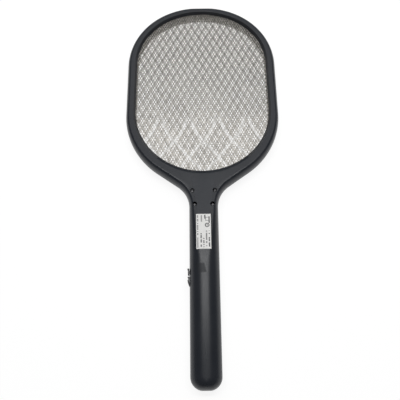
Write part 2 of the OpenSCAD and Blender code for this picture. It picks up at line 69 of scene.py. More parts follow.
SCREWS = [(12.5, -23.1), (-12.5, -23.1), (9.9, -39.2), (-9.9, -39.2)]
SCREW_SEAT = 7.9
WELL_R = 2.5
SLIDE_Y, BUTTON_Y, LENS_Y = -112.6, -122.8, -92.0
LABEL_W, LABEL_LEN, LABEL_X, LABEL_Y = 15.8, 39.2, -0.6, -71.0


def ease(t):
    """From 0 to 1, slowly at both ends."""
    t = min(max(t, 0.0), 1.0)
    return t * t * (3 - 2 * t)


def crown(y):
    """Height of the shell's flat crown, which rises from the ring to the handle."""
    return RING_H + (HANDLE_H - RING_H) * ease((-5 - y) / 95)


def edge(y):
    """Width of the rounded edge, which grows until the handle is round."""
    return RING_EDGE + (HALF_HANDLE - RING_EDGE) * ease((-25 - y) / 105)


def skin(x, y):
    """Height of the shell over the parting plane, on the handle."""
    inside = HALF_HANDLE - abs(x)
    reach = edge(y)
    if inside >= reach:
        return crown(y)
    return crown(y) * math.sqrt(max(0.0, 1 - (1 - inside / reach) ** 2))


# ---------------------------------------------------------------- mesh helpers


def seat(bm):
    """From millimetres about the parting plane to metres in the frame."""
    bmesh.ops.translate(bm, vec=(0, 0, REST_H), verts=bm.verts)
    bmesh.ops.scale(bm, vec=(0.001, 0.001, 0.001), verts=bm.verts)


def shade(bm, degrees):
    """Smooth faces, with sharp edges where the surface turns by more than the given angle."""
    for f in bm.faces:
        f.smooth = True
    for e in bm.edges:
        e.smooth = len(e.link_faces) == 2 and e.calc_face_angle(0) < math.radians(degrees)


def piece(name, bm, body="swatter", sharp=35, replaces=()):
    shade(bm, sharp)
    seat(bm)
    mesh = bpy.data.meshes.new(name)
    bm.to_mesh(mesh)
    bm.free()
    made = bpy.data.objects.new(name, mesh)
    bpy.context.scene.collection.objects.link(made)
    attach(made, body)
    if replaces:
        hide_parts(*replaces)
    return made


def carve(bm, cutter):
    """Takes the solid cutter out of the solid bm."""
    pair = []
    for made, name in ((bm, "work"), (cutter, "tool")):
        mesh = bpy.data.meshes.new(name)
        made.to_mesh(mesh)
        made.free()
        pair.append(bpy.data.objects.new(name, mesh))
        bpy.context.scene.collection.objects.link(pair[-1])
    cut = pair[0].modifiers.new("cut", "BOOLEAN")
    cut.operation = "DIFFERENCE"
    cut.solver = "EXACT"
    cut.object = pair[1]
    graph = bpy.context.evaluated_depsgraph_get()
    result = bmesh.new()
    result.from_object(pair[0], graph)
    for used in pair:
        mesh = used.data
        bpy.data.objects.remove(used)
        bpy.data.meshes.remove(mesh)
    return result


def add_box(bm, low, high):
    size = [h - l for l, h in zip(low, high)]
    middle = [(h + l) / 2 for l, h in zip(low, high)]
    place = Matrix.Translation(middle) @ Matrix.Diagonal((*size, 1))
    return bmesh.ops.create_cube(bm, size=1, matrix=place)["verts"]


def add_cylinder(bm, r, low, high, x, y, segments=32):
    place = Matrix.Translation((x, y, (low + high) / 2))
    bmesh.ops.create_cone(bm, cap_ends=True, segments=segments, radius1=r, radius2=r, depth=high - low,
                          matrix=place)


def lathe(bm, profile, x, y, segments=32):
    """A solid turned about an upright axis from (radius, height) points that start and end on the axis."""
    line = [bm.verts.new((x + r, y, z)) for r, z in profile]
    edges = [bm.edges.new(pair) for pair in zip(line, line[1:])]
    bmesh.ops.spin(bm, geom=line + edges, cent=(x, y, 0), axis=(0, 0, 1), angle=2 * math.pi, steps=segments,
                   use_merge=True)
    bmesh.ops.remove_doubles(bm, verts=bm.verts, dist=0.001)
    bmesh.ops.recalc_face_normals(bm, faces=bm.faces)


def bevel(bm, edges, width, segments=2):
    bmesh.ops.bevel(bm, geom=edges, offset=width, segments=segments, profile=0.5, affect="EDGES",
                    material=-1, clamp_overlap=True)


def new_verts(made):
    """The vertices among what an operator has made."""
    return [g for g in made["geom"] if isinstance(g, bmesh.types.BMVert)]


# ---------------------------------------------------------------- shells


def rim_point(half, top, low, a):
    """A point of an outline round the head, by the angle of its outward normal from +X."""
    r = half - SHOULDER_X
    if a <= 0:
        return Vector((half * math.cos(a), low + half + half * math.sin(a)))
    sag = top - r - SHOULDER_Y
    drop = (SHOULDER_X**2 - sag**2) / (2 * sag)
    if a > math.atan2(drop, SHOULDER_X):
        big = r + sag + drop
        return Vector((big * math.cos(a), SHOULDER_Y - drop + big * math.sin(a)))
    return Vector((SHOULDER_X + r * math.cos(a), SHOULDER_Y + r * math.sin(a)))


def lip_point(a):
    return rim_point(LIP_HALF, LIP_TOP, LIP_LOW, a)


# Steps of half the outline, from the head's top to the handle's end
TOP_STEPS, SIDE_STEPS, LOW_STEPS, TAPER_STEPS, HOLLOW_STEPS = 56, 12, 40, 16, 36
HANDLE_STEPS, CORNER_STEPS, END_STEPS = 84, 12, 3
LIP_HOLLOW_STEPS = 12  # steps of the hollow whose sections still run to the opening's lip


def hollow_point(a):
    """A point of the hollow between the taper and the handle, by the outline's turn from straight down."""
    return Vector((HOLLOW_X - NECK_R * math.cos(a), HOLLOW_Y + NECK_R * math.sin(a)))


def stations():
    """Pairs of an outline point and the inner point that its section runs to."""
    pairs = []
    outer_low = LOW_Y - HALF_HEAD
    for t in range(TOP_STEPS + 1):
        a = max(math.pi / 2 * (1 - t / TOP_STEPS), 1e-9)
        pairs.append((rim_point(HALF_HEAD, HALF_LEN, outer_low, a), lip_point(a)))
    for t in range(1, SIDE_STEPS):
        outer = Vector((HALF_HEAD, SHOULDER_Y - SIDE_LEN * t / SIDE_STEPS))
        inner = Vector((LIP_HALF, SHOULDER_Y - (SHOULDER_Y - LIP_LOW - LIP_HALF) * t / SIDE_STEPS))
        pairs.append((outer, inner))
    for t in range(LOW_STEPS + 1):
        a = -TAPER * t / LOW_STEPS
        pairs.append((rim_point(HALF_HEAD, HALF_LEN, outer_low, a), lip_point(a)))
    shoulder, hollow = pairs[-1][0], hollow_point(TAPER)
    lip_step = (math.pi / 2 - TAPER) / (TAPER_STEPS + LIP_HOLLOW_STEPS)
    for t in range(1, TAPER_STEPS + 1):
        pairs.append((shoulder.lerp(hollow, t / TAPER_STEPS), lip_point(-TAPER - lip_step * t)))
    for t in range(1, HOLLOW_STEPS + 1):
        if t <= LIP_HOLLOW_STEPS:
            inner = lip_point(-TAPER - lip_step * (TAPER_STEPS + t))
        else:
            share = (t - LIP_HOLLOW_STEPS) / (HOLLOW_STEPS - LIP_HOLLOW_STEPS)
            inner = Vector((0, LIP_LOW + (HOLLOW_Y - LIP_LOW) * share))
        pairs.append((hollow_point(TAPER * (1 - t / HOLLOW_STEPS)), inner))
    corner_y = END_R - HALF_LEN
    for t in range(1, HANDLE_STEPS + 1):
        y = HOLLOW_Y + (corner_y - HOLLOW_Y) * t / HANDLE_STEPS
        pairs.append((Vector((HALF_HANDLE, y)), Vector((0, y))))
    for t in range(1, CORNER_STEPS + 1):
        a = math.pi / 2 * t / CORNER_STEPS
        outer = Vector((HALF_HANDLE - END_R + END_R * math.cos(a), corner_y - END_R * math.sin(a)))
        pairs.append((outer, Vector((0, corner_y - 3 * t / CORNER_STEPS))))
    for t in range(1, END_STEPS + 1):
        outer = Vector(((HALF_HANDLE - END_R) * (1 - t / END_STEPS), -HALF_LEN))
        pairs.append((outer, Vector((0, corner_y - 3 - t / 6))))
    return pairs


DOME_STEPS = 12
FLAT_STEPS = 7
SEAM = [(0.32, 0.0), (0.09, 0.1), (0.0, 0.36)]  # rounded corner at the seam, as (inwards, height)
DOME_START = 0.9  # height over the seam at which the rounded edge begins


def section(p, q):
    """Points (inwards, height) of the shell's outside between an outline point and its inner point."""
    y = q.y if q.x < 1e-6 else 0.0
    h = crown(y)
    run = (q - p).length
    e = min(edge(y), run - 0.3)
    points = list(SEAM)
    first = math.asin(DOME_START / h)
    for k in range(DOME_STEPS + 1):
        a = first + (math.pi / 2 - first) * k / DOME_STEPS
        points.append((e * (1 - math.cos(a)), h * math.sin(a)))
    for k in range(1, FLAT_STEPS + 1):
        points.append((e + (run - e) * k / FLAT_STEPS, h))
    return points


def bevel_width(normal_y):
    """Width of the opening's bevel by the outline's direction: narrow at the top, wide at the neck."""
    return 2.2 + 3.3 * max(-normal_y, 0) - 1.0 * max(normal_y, 0) ** 2


def half_body():
    """The right half of one shell's outside, from the seam to the opening or the middle line."""
    rows = stations()
    columns = len(SEAM) + DOME_STEPS + 1 + FLAT_STEPS
    bm = bmesh.new()
    grid = bmesh.ops.create_grid(bm, x_segments=len(rows) - 1, y_segments=columns - 1, size=0.5)["verts"]
    for v in grid:
        i = round((v.co.x + 0.5) * (len(rows) - 1))
        j = round((v.co.y + 0.5) * (columns - 1))
        p, q = rows[i]
        inward, z = section(p, q)[j]
        spot = p + (q - p).normalized() * inward
        v.co = (spot.x if spot.x > 1e-4 else 0.0, spot.y, z)
    bmesh.ops.remove_doubles(bm, verts=bm.verts, dist=0.002)
    return bm


def spot_key(v):
    return tuple(round(c, 4) for c in v.co)


def lip_directions(lip):
    """The way into the opening at each vertex of its lip, by the vertex's place."""
    around = {}
    for e in lip:
        for v in e.verts:
            around.setdefault(v, []).append(e)
    middle = Vector((0, (LIP_TOP + LIP_LOW) / 2))
    inward = {}
    for v, edges in around.items():
        ends = [e.other_vert(v).co.xy for e in edges]
        along = (ends[0] - ends[-1]).normalized()
        normal = Vector((along.y, -along.x))
        inward[spot_key(v)] = normal if normal.dot(middle - v.co.xy) > 0 else -normal
    return inward


def shell_skin():
    """One shell's outside without its wall, from the seam down into the opening."""
    bm = half_body()
    bmesh.ops.mirror(bm, geom=bm.verts[:] + bm.edges[:] + bm.faces[:], axis="X", merge_dist=0.002)
    bmesh.ops.remove_doubles(bm, verts=bm.verts, dist=0.004)
    bmesh.ops.dissolve_degenerate(bm, dist=0.0005, edges=bm.edges)
    bmesh.ops.recalc_face_normals(bm, faces=bm.faces)
    if max(bm.faces, key=lambda f: f.calc_center_median().z).normal.z < 0:
        bmesh.ops.reverse_faces(bm, faces=bm.faces)
    lip = [e for e in bm.edges if e.is_boundary and min(v.co.z for v in e.verts) > RING_H - 0.01]
    inward = lip_directions(lip)
    # a softened corner, then the bevel down to the meshes, as (share of the width, drop)
    for share, drop in ((0.16, 0.12), (0.84, RING_H - SEAT_Z)):
        made = bmesh.ops.extrude_edge_only(bm, edges=lip)
        for v in new_verts(made):
            normal = inward[spot_key(v)]
            moved = v.co.xy + normal * bevel_width(-normal.y) * share
            v.co = (*moved, RING_H - drop)
            inward[spot_key(v)] = normal
        lip = [g for g in made["geom"] if isinstance(g, bmesh.types.BMEdge)
               and g.is_boundary and all(v.co.z < RING_H - 0.05 for v in g.verts)]
    return bm


def controls_cutter():
    """Slot of the slide switch, window of the button and the hole of the charging socket."""
    bm = bmesh.new()
    add_box(bm, (-21, SLIDE_Y - 1.75, -1.7), (-12, SLIDE_Y + 4.75, 1.7))
    add_box(bm, (-21, BUTTON_Y - 5.35, -3.5), (-12, BUTTON_Y + 5.35, 3.5))
    hole = bmesh.ops.create_circle(bm, cap_ends=True, segments=32, radius=1.8)["verts"]
    for v in hole:
        v.co = (v.co.x + math.copysign(2.85, v.co.x), -HALF_LEN - 1, v.co.y)
    face = [f for f in bm.faces if all(v in hole for v in f.verts)]
    deep = bmesh.ops.extrude_face_region(bm, geom=face)
    bmesh.ops.translate(bm, vec=(0, 6, 0), verts=new_verts(deep))
    bmesh.ops.recalc_face_normals(bm, faces=bm.faces)
    return bm


def make_rear_shell():
    bm = shell_skin()
    bmesh.ops.solidify(bm, geom=bm.faces[:], thickness=WALL)
    bmesh.ops.recalc_face_normals(bm, faces=bm.faces)
    wells = bmesh.new()
    for x, y in SCREWS:
        top = crown(y)
        lathe(wells, [(0, -1), (1.5, -1), (1.5, SCREW_SEAT), (WELL_R, SCREW_SEAT), (WELL_R, top - 0.25),
                      (WELL_R + 0.1, top - 0.08), (WELL_R + 0.35, top + 0.02), (WELL_R + 0.5, top + 0.5),
                      (0, top + 0.5)], x, y)
    bm = carve(bm, wells)
    bm = carve(bm, controls_cutter())
    return piece("rear_shell_skin", bm, replaces=["rear_shell"], sharp=40)


def make_front_shell():
    bm = shell_skin()
    for v in bm.verts:
        v.co.z = min(v.co.z, REST_H)
    bmesh.ops.solidify(bm, geom=bm.faces[:], thickness=WALL)
    bmesh.ops.scale(bm, vec=(1, 1, -1), verts=bm.verts)
    bmesh.ops.recalc_face_normals(bm, faces=bm.faces)
    bm = carve(bm, controls_cutter())
    lens = bmesh.new()
    add_cylinder(lens, 1.95, -20, -8, 0, LENS_Y)
    bm = carve(bm, lens)
    return piece("front_shell_skin", bm, replaces=["front_shell"], sharp=40)


# ---------------------------------------------------------------- meshes

SHEET_R = 83.0  # half width of a sheet, whose ends are round
SHEET_TOP = 141.0  # centre of its upper end
SHEET_LEN = 260  # a little more than the sheet, to cover it with diamonds


def spine(y):
    """The nearest point of the sheet's middle line."""
    return Vector((0, min(max(y, LOW_Y), SHEET_TOP)))


def expanded_metal(cell, start, strand, thickness, ridge, z):
    """A sheet of diamonds: a grid turned on its corner, each cell opened, strands ridged and thickened."""
    width, height = cell
    reach = int(max(2 * SHEET_R / width, SHEET_LEN / height)) + 3
    bm = bmesh.new()
    bmesh.ops.create_grid(bm, x_segments=2 * reach, y_segments=2 * reach, size=reach)
    for v in bm.verts:
        across, along = (v.co.x - v.co.y) / 2, (v.co.x + v.co.y) / 2
        v.co.xy = start[0] + across * width, start[1] + along * height
    middles = {f: f.calc_center_median().xy for f in bm.faces}
    far = [f for f, middle in middles.items() if (middle - spine(middle.y)).length > SHEET_R]
    bmesh.ops.delete(bm, geom=far, context="FACES")
    for v in bm.verts:  # the sheet's cut edge, under the ring
        centre = spine(v.co.y)
        out = v.co.xy - centre
        if out.length > SHEET_R:
            v.co.xy = centre + out * (SHEET_R / out.length)
    cells = bm.faces[:]
    crest = set(bm.verts)
    bmesh.ops.inset_individual(bm, faces=cells, thickness=strand / 2, use_even_offset=True)
    bmesh.ops.delete(bm, geom=cells, context="FACES")
    for v in bm.verts:
        v.co.z = z + (ridge if v in crest else 0)
    bmesh.ops.solidify(bm, geom=bm.faces[:], thickness=thickness)
    bmesh.ops.recalc_face_normals(bm, faces=bm.faces)
    return bm


def make_sheet(name, *shape):
    return piece(f"{name}_strands", expanded_metal(*shape), replaces=[name], sharp=20)


def make_meshes():
    """Two fine sheets that line up, and the coarse one between them."""
    return (make_sheet("rear_mesh", (3.0, 5.6), (0, LOW_Y), 0.68, 0.22, 0.1, 4.95),
            make_sheet("centre_mesh", (9.09, 16.97), (1.55, 78.8), 0.75, 0.3, 0.15, 0.0),
            make_sheet("front_mesh", (3.06, 5.71), (0.5, 81.7), 0.46, 0.22, 0.1, -5.1))


# ---------------------------------------------------------------- small pieces


def make_screws():
    """Four pan heads with cross recesses, on shanks down to the front shell's bosses."""
    bm = bmesh.new()
    for x, y in SCREWS:
        add_cylinder(bm, 2.25, SCREW_SEAT, SCREW_SEAT + 1.3, x, y)
    rims = [e for e in bm.edges if min(v.co.z for v in e.verts) > SCREW_SEAT + 1]
    bevel(bm, rims, 0.5, 3)
    for x, y in SCREWS:
        add_cylinder(bm, 1.25, -6.5, SCREW_SEAT - 0.02, x, y, segments=16)
    crosses = bmesh.new()
    for i, (x, y) in enumerate(SCREWS):
        turn = math.radians(20 + 23 * i)
        for a in (turn, turn + math.pi / 2):
            bar = add_box(crosses, (-1.35, -0.32, SCREW_SEAT + 0.5), (1.35, 0.32, SCREW_SEAT + 3))
            bmesh.ops.rotate(crosses, verts=bar, matrix=Matrix.Rotation(a, 3, "Z"))
            bmesh.ops.translate(crosses, verts=bar, vec=(x, y, 0))
    bm = carve(bm, crosses)
    return piece("neck_screw_heads", bm, replaces=["neck_screws"], sharp=30)


def make_label():
    bm = bmesh.new()
    bmesh.ops.create_grid(bm, x_segments=24, y_segments=48, size=0.5)
    for v in bm.verts:
        x, y = LABEL_X + v.co.x * LABEL_W, LABEL_Y + v.co.y * LABEL_LEN
        v.co = (x, y, skin(x, y) + 0.2)
    bmesh.ops.solidify(bm, geom=bm.faces[:], thickness=0.12)
    bmesh.ops.recalc_face_normals(bm, faces=bm.faces)
    return piece("label_film", bm, replaces=["rating_label"], sharp=50)


def side_piece(profile, x, y, half, round_off):
    """A control on the handle's left side: its (out, along) outline drawn out in height and rounded off."""
    bm = bmesh.new()
    ring = [bm.verts.new((x - out, y + along, -half)) for out, along in profile]
    face = bm.faces.new(ring)
    top = bmesh.ops.extrude_face_region(bm, geom=[face])
    bmesh.ops.translate(bm, vec=(0, 0, 2 * half), verts=new_verts(top))
    bmesh.ops.recalc_face_normals(bm, faces=bm.faces)
    ends = [e for e in bm.edges
            if abs(e.verts[0].co.z - e.verts[1].co.z) < 1e-6 and min(v.co.x for v in e.verts) < x - 0.2]
    bevel(bm, ends, round_off)
    return bm


def make_slide_knob():
    """A low knob with a raised lip and fine ribs, on a neck through its slot."""
    ribs = [(1.4 + 0.15 * (k % 2), 1.2 - 0.4 * k) for k in range(9)]
    profile = [(-0.1, 3.5), (1.5, 3.5), (1.85, 3.35), (2.0, 3.0), (1.9, 2.5), (1.5, 2.0), *ribs,
               (1.5, -2.8), (1.3, -3.4), (-0.1, -3.5)]
    bm = side_piece(profile, -16.35, SLIDE_Y, 3.4, 0.25)
    add_box(bm, (-16.3, SLIDE_Y - 1.5, -1.45), (-13.2, SLIDE_Y + 1.5, 1.45))
    return piece("slide_knob_cap", bm, body="slide_switch", replaces=["slide_knob"],
                 sharp=50)


def make_push_button():
    """A button with a grooved upper end and a long slope below, held by a flange inside the wall."""
    profile = [(-2.9, 5.1), (1.7, 5.1), (2.05, 4.95), (2.2, 4.6), (2.1, 4.1), (1.5, 3.5), (1.1, 3.2),
               (1.05, 2.9), (1.1, 2.6), (1.7, 2.0), (2.1, 1.7), (2.3, 1.2), (2.2, 0.4), (1.8, -1.1),
               (1.3, -2.6), (0.8, -4.0), (0.3, -4.9), (-2.9, -5.1)]
    bm = side_piece(profile, -16.0, BUTTON_Y, 3.25, 0.3)
    add_box(bm, (-13.4, BUTTON_Y - 5.8, -2.6), (-13.05, BUTTON_Y + 5.8, 2.6))
    return piece("push_button_cap", bm, body="trigger_button", replaces=["push_button"],
                 sharp=50)


# ---------------------------------------------------------------- materials


class Value:
    """A number that varies over a surface; Python's operators add the Math nodes."""

    def __init__(self, look, socket):
        self.look, self.socket = look, socket

    def math(self, operation, *others, first=None):
        parts = [self, *others] if first is None else [first, self]
        return self.look.node("ShaderNodeMath", {"operation": operation}, dict(enumerate(parts)))

    def __add__(self, other):
        return self.math("ADD", other)

    __radd__ = __add__

    def __sub__(self, other):
        return self.math("SUBTRACT", other)

    def __rsub__(self, other):
        return self.math("SUBTRACT", first=other)

    def __mul__(self, other):
        return self.math("MULTIPLY", other)

    __rmul__ = __mul__

    def __truediv__(self, other):
        return self.math("DIVIDE", other)

    def __pow__(self, other):
        return self.math("POWER", other)

    def __abs__(self):
        return self.math("ABSOLUTE")


class Look:
    """One material: a Principled shader and the nodes that vary it."""

    def __init__(self, name, **uniform):
        self.material = bpy.data.materials.new(name)
        self.material.use_nodes = True
        self.tree = self.material.node_tree
        self.shader = self.tree.nodes["Principled BSDF"]
        for key, value in uniform.items():
            self.shader.inputs[key.replace("_", " ").title().replace("Ior", "IOR")].default_value = value

    def node(self, kind, settings=None, inputs=None, output=0):
        made = self.tree.nodes.new(kind)
        for key, value in (settings or {}).items():
            if key == "stops":
                ramp = made.color_ramp
                while len(ramp.elements) < len(value):
                    ramp.elements.new(0.5)
                for element, (place, colour) in zip(ramp.elements, value):
                    element.position, element.color = place, (*colour, 1)
            else:
                setattr(made, key, value)
        for key, value in (inputs or {}).items():
            if isinstance(value, Value):
                self.tree.links.new(value.socket, made.inputs[key])
            else:
                made.inputs[key].default_value = value
        return Value(self, made.outputs[output])

    def feed(self, name, value):
        self.tree.links.new(value.socket, self.shader.inputs[name])
        return self

    def place(self):
        return self.node("ShaderNodeTexCoord", output="Object")

    def axes(self):
        """Object coordinates in millimetres."""
        split = self.node("ShaderNodeSeparateXYZ", {}, {0: self.place()})
        outputs = split.socket.node.outputs
        return [Value(self, outputs[i]) * 1000 for i in range(3)]

    def noise(self, scale, detail=3, rough=0.55, stretch=None):
        at = self.place()
        if stretch:
            at = self.node("ShaderNodeMapping", {}, {0: at, "Scale": stretch})
        return self.node("ShaderNodeTexNoise", {},
                         {"Vector": at, "Scale": scale, "Detail": detail, "Roughness": rough})

    def step(self, value, low, high, start=0.0, stop=1.0):
        """From start to stop while the value goes from low to high, slowly at both ends."""
        return self.node("ShaderNodeMapRange", {"interpolation_type": "SMOOTHSTEP"},
                         {0: value, 1: low, 2: high, 3: start, 4: stop})

    def mix(self, mask, first, second):
        made = self.tree.nodes.new("ShaderNodeMix")
        made.data_type = "RGBA"
        for key, value in ((0, mask), (6, first), (7, second)):
            if isinstance(value, Value):
                self.tree.links.new(value.socket, made.inputs[key])
            elif key:
                made.inputs[key].default_value = (*value, 1)
            else:
                made.inputs[key].default_value = value
        return Value(self, made.outputs[2])

    def bump(self, height, strength, distance):
        return self.feed("Normal", self.node("ShaderNodeBump", {}, {"Height": height, "Strength": strength,
                                                                    "Distance": distance}))


def moulded(name, dark, light, rough, grain=0.35, **uniform):
    """Injection-moulded plastic: a fine spark-eroded grain, with faint drifts of tone and gloss."""
    look = Look(name, **uniform)
    drift = look.noise(28, 4)
    speck = look.noise(2600, 2)
    look.feed("Base Color", look.mix(look.step(drift * 0.8 + speck * 0.2, 0.35, 0.65), dark, light))
    gloss = drift * 0.5 + look.noise(900, 2) * 0.5
    look.feed("Roughness", look.step(gloss, 0.3, 0.7, rough - 0.05, rough + 0.06))
    look.bump(speck, grain, 0.00006)
    return look


def metal(name, dark, light, rough, scale=300, stretch=(1, 1, 1)):
    """Drawn or stamped metal with a fine brushed pattern."""
    look = Look(name, metallic=1.0)
    brushed = look.noise(scale, 3, 0.6, stretch)
    look.feed("Base Color", look.mix(look.step(brushed, 0.35, 0.65), dark, light))
    look.feed("Roughness", look.step(look.noise(scale / 3, 2), 0.3, 0.7, rough - 0.06, rough + 0.08))
    look.bump(brushed, 0.15, 0.00005)
    return look


def shell_look(name, dark, light, marks=False):
    """Dark satin plastic; with marks, a faintly raised tongue between the screws whose lighter tone is
    painted light, and a dull worn patch.
    """
    look = Look(name, specular_ior_level=0.34)
    x, y, z = look.axes()
    drift = look.noise(28, 4)
    speck = look.noise(2600, 2)
    tone = look.mix(look.step(drift * 0.8 + speck * 0.2, 0.35, 0.65), dark, light)
    height = speck * 0.016
    gloss = look.step(drift * 0.5 + look.noise(900, 2) * 0.5, 0.3, 0.7, 0.3, 0.36)
    if marks:
        side = look.step(abs(x) - (y + 42) * 0.158, 8.3, 7.7)
        tongue = side * look.step(y, -54.4, -53.6) * look.step(y, -4, -14)
        # painted light: the tongue's flat raised top is tinted lighter; the bump two lines down gives its
        # real rise
        tone = look.mix(tongue * 0.5, tone, [1.35 * c for c in light])
        height = height + tongue * 0.08
        along = y + 110.5
        worn = look.step(abs(x + along * 0.25 + 3.9), 5.4, 3.8) * look.step(abs(along), 5.6, 4.2)
        tone = look.mix(worn * 0.5, tone, [0.5 * c for c in dark])
        gloss = gloss + worn * 0.13
    look.feed("Base Color", tone)
    look.feed("Roughness", gloss)
    look.bump(height, 1.0, 0.001)
    return look


SCALE_W, SCALE_TOP, SCALE_BEND = 34, 74, 34  # width of a scale, where the row begins, how far its sides bend


def painted_scale_light(look, x, y):
    """Mask of the sides of the large scale bands, which are painted light: two families of lines that part
    from each arch and cross below.
    """
    late = (SCALE_TOP - y).math("MAXIMUM", 0)
    bent = late.math("MINIMUM", SCALE_BEND)
    spread = bent * bent / 2786 + (late - bent) * 0.0244 + 0.085
    sides = []
    for sign in (1, -1):
        across = ((x - 1) / SCALE_W + sign * spread).math("FRACT")
        sides.append(look.step(abs(across - 0.5), 0.035, 0.075, 1, 0))
    return sides[0].math("MAXIMUM", sides[1]) * look.step(y, 60, 78, 1, 0)


def mesh_look(name, low_tone, high_tone, low_y, high_y, rough, painted_light_marks=False):
    """Expanded metal whose tone changes along the head, darker towards the top, as painted light and shade;
    the rear sheet has painted glints, specks of painted shade and pale scale bands of painted light.
    """
    look = Look(name, metallic=0.35)
    x, y, z = look.axes()
    # painted light and shade: the sheets are one metal, graded darker towards the top of the head
    along = look.step(y + look.noise(30, 2) * 12 - 6, low_y, high_y)
    streak = look.noise(900, 3)
    tone = look.mix(along, low_tone, high_tone)
    tone = look.mix(look.step(streak, 0.4, 0.7, 0, 0.3), tone, (0.75, 0.74, 0.71))
    tone = look.mix(look.step(look.noise(38, 3), 0.4, 0.65, 0, 0.3), tone, (0.2, 0.185, 0.165))
    if painted_light_marks:
        # painted glints as near-white specks, then painted shade as near-black specks
        tone = look.mix(look.step(look.noise(560, 1), 0.5, 0.62, 0, 0.5), tone, (0.97, 0.95, 0.9))
        tone = look.mix(look.step(look.noise(470, 1), 0.5, 0.4, 0, 0.5), tone, (0.05, 0.046, 0.04))
        # painted light: pale bands where the backdrop's light would show through the layered sheets
        tone = look.mix(painted_scale_light(look, x, y) * 0.78, tone, (0.97, 0.97, 0.96))
    look.feed("Base Color", tone)
    look.feed("Roughness", look.step(streak, 0.3, 0.7, rough - 0.08, rough + 0.1))
    look.bump(streak, 0.2, 0.00004)
    return look


# Columns of dashes on the label: x, from y, to y, share left blank, darkness
DASHES = [(-6.3, -89.5, -77.5, 0.25, 0.55), (-6.3, -76, -52, 0.2, 0.7), (-2.7, -89, -72, 0.3, 0.95),
          (-2.2, -60, -52, 0.1, 0.7), (0.1, -89, -77, 0.35, 0.85), (3.1, -89, -70, 0.35, 0.8),
          (6.0, -89, -70, 0.25, 0.95), (1.6, -56.5, -51.5, 0.0, 1.0), (6.1, -61.5, -51.5, 0.1, 0.95)]


def label_look():
    """White satin film; columns of small dark dashes, a ring and a frame stand for the print."""
    look = Look("label_film", coat_weight=0.15)
    x, y, z = look.axes()
    x = x - LABEL_X
    y = (y - LABEL_Y) * 1.02 - 70.6
    paper = look.mix(look.noise(400, 2), (0.85, 0.845, 0.83), (0.92, 0.915, 0.9))
    disc = ((x - 3.9) ** 2 + (y + 63.6) ** 2) ** 0.5
    ring = look.step(abs(disc - 2.0), 0.3, 0.7, 1, 0)
    dot = look.step(disc, 0.4, 0.9, 1, 0)
    ink = ring.math("MAXIMUM", dot)
    square = abs(x - 4.3).math("MAXIMUM", abs(y + 56.6))
    ink = ink.math("MAXIMUM", look.step(abs(square - 1.9), 0.2, 0.5, 1, 0) * 0.7)
    for column, near, far, blank, dark in DASHES:
        bar = look.step(abs(x - column), 0.45, 0.95, 1, 0)
        span = look.step(abs(y - (near + far) / 2), (far - near) / 2 - 0.4, (far - near) / 2, 1, 0)
        cell = look.node("ShaderNodeTexWhiteNoise", {"noise_dimensions": "1D"},
                         {"W": (y * 0.85 + column * 7).math("FLOOR")})
        ink = ink.math("MAXIMUM", bar * span * look.step(cell, blank, blank + 0.1) * dark)
    look.feed("Base Color", look.mix(ink, paper, (0.05, 0.05, 0.055)))
    look.feed("Roughness", look.step(look.noise(500, 2), 0.3, 0.7, 0.38, 0.5))
    look.bump(look.noise(1500, 2), 0.1, 0.00003)
    return look


def dress(obj, look):
    obj.data.materials.clear()
    obj.data.materials.append(look.material)


# ---------------------------------------------------------------- camera, floor and light


def make_camera():
    """Above the handle's end, 20 degrees off upright, looking a little below the head."""
    aim = Vector((-0.0040, -0.0310, REST_H * 0.001))
    tilt, roll, distance = math.radians(20), math.radians(-0.76), 0.5427
    data = bpy.data.cameras.new("camera")
    data.lens = 43.65
    data.sensor_width = 36
    data.clip_start = 0.01
    camera = bpy.data.objects.new("camera", data)
    bpy.context.scene.collection.objects.link(camera)
    turned = Matrix.Rotation(tilt, 4, "X") @ Matrix.Rotation(roll, 4, "Z")
    back = Vector((0, -math.sin(tilt), math.cos(tilt)))
    camera.matrix_world = Matrix.Translation(aim + back * distance) @ turned
    bpy.context.scene.camera = camera


def soft_box(name, place, size, size_y, power):
    """A rectangular area light that faces the middle of the swatter."""
    data = bpy.data.lights.new(name, "AREA")
    data.shape = "RECTANGLE"
    data.size, data.size_y, data.energy = size, size_y, power
    light = bpy.data.objects.new(name, data)
    bpy.context.scene.collection.objects.link(light)
    light.location = place
    light.rotation_euler = (-Vector(place)).to_track_quat("-Z", "Y").to_euler()


def make_table():
    bm = bmesh.new()
    bmesh.ops.create_grid(bm, x_segments=2, y_segments=2, size=3)
    mesh = bpy.data.meshes.new("table")
    bm.to_mesh(mesh)
    bm.free()
    table = bpy.data.objects.new("table", mesh)
    bpy.context.scene.collection.objects.link(table)
    look = Look("pale_table", roughness=0.9, emission_strength=0.88)
    look.feed("Base Color", look.mix(look.noise(6, 2), (0.16, 0.16, 0.16), (0.18, 0.18, 0.18)))
    look.shader.inputs["Emission Color"].default_value = (1, 1, 1, 1)
    dress(table, look)
    table.location.z = -0.0004


def make_light():
    world = bpy.data.worlds.new("studio")
    bpy.context.scene.world = world
    world.use_nodes = True
    background = world.node_tree.nodes["Background"].inputs
    background["Color"].default_value = (1, 1, 1, 1)
    background["Strength"].default_value = 0.12
    soft_box("overhead", (0.0, 0.12, 1.1), 0.9, 0.12, 6.3)
    soft_box("behind_head", (0.0, 0.78, 1.0), 1.4, 0.6, 3.9)
    bpy.context.scene.view_settings.view_transform = "Standard"


# ---------------------------------------------------------------- the swatter

make_camera()
rear_shell = make_rear_shell()
front_shell = make_front_shell()
rear_mesh, centre_mesh, front_mesh = make_meshes()
screws = make_screws()
label = make_label()
slide_knob = make_slide_knob()
push_button = make_push_button()

